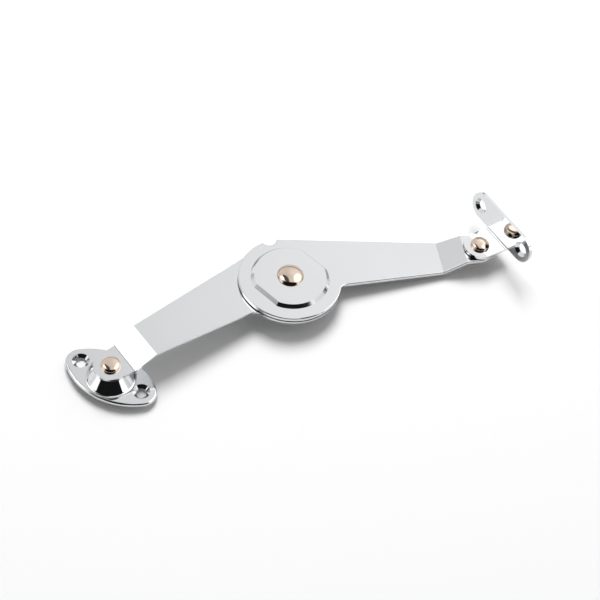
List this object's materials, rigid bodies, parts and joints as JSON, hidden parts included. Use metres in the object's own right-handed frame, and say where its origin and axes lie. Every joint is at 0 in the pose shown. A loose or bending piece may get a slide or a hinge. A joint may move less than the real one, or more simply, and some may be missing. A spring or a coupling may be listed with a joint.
{
  "type": "friction lid stay",
  "caption": "Chromed friction lid stay: two joggled steel arms turn on a riveted friction hub, between an oval base plate and an angled lid bracket.",
  "frame": {"origin": "pivot of the base plate, on the plate's underside, half way between its two screw holes", "axes": "+Z along the pivots, away from the surface that the base plate is screwed to; +X along the line of the base plate's screw holes; +Y to the side that the arms lie on"},
  "size_m": [0.1557, 0.1667, 0.0387],
  "materials": {
    "chrome": "polished",
    "rivet": "satin nickel",
    "washer": "zinc plated",
    "spring": "oiled spring steel",
    "lining": "matt fibre"
  },
  "bodies": {
    "base": {"base_plate": "chrome", "base_thrust_washer": "washer", "base_backing_washer": "washer", "base_rivet": "rivet"},
    "lower_arm": {"lower_arm": "chrome", "lower_disc_spring": "spring", "lower_keyed_disc": "washer", "friction_lining": "lining", "hub_backing_washer": "washer", "hub_rivet": "rivet"},
    "upper_arm": {"upper_arm": "chrome", "upper_keyed_disc": "washer", "upper_disc_spring": "spring", "bracket_thrust_washer": "washer", "bracket_backing_washer": "washer", "bracket_rivet": "rivet"},
    "bracket": {"lid_bracket": "chrome"}
  },
  "joints": [
    {"name": "base_pivot", "type": "hinge", "parent": "base", "child": "lower_arm", "pos_m": [0, 0, 0.0075], "axis": [0, 0, 1], "continuous": true},
    {"name": "hub_pivot", "type": "hinge", "parent": "lower_arm", "child": "upper_arm", "pos_m": [0.04394, 0.07662, 0.0153], "axis": [0, 0, 1], "range_deg": [-150, 29]},
    {"name": "bracket_pivot", "type": "hinge", "parent": "upper_arm", "child": "bracket", "pos_m": [0.11067, 0.13449, 0.0229], "axis": [0, 0, 1], "continuous": true}
  ]
}
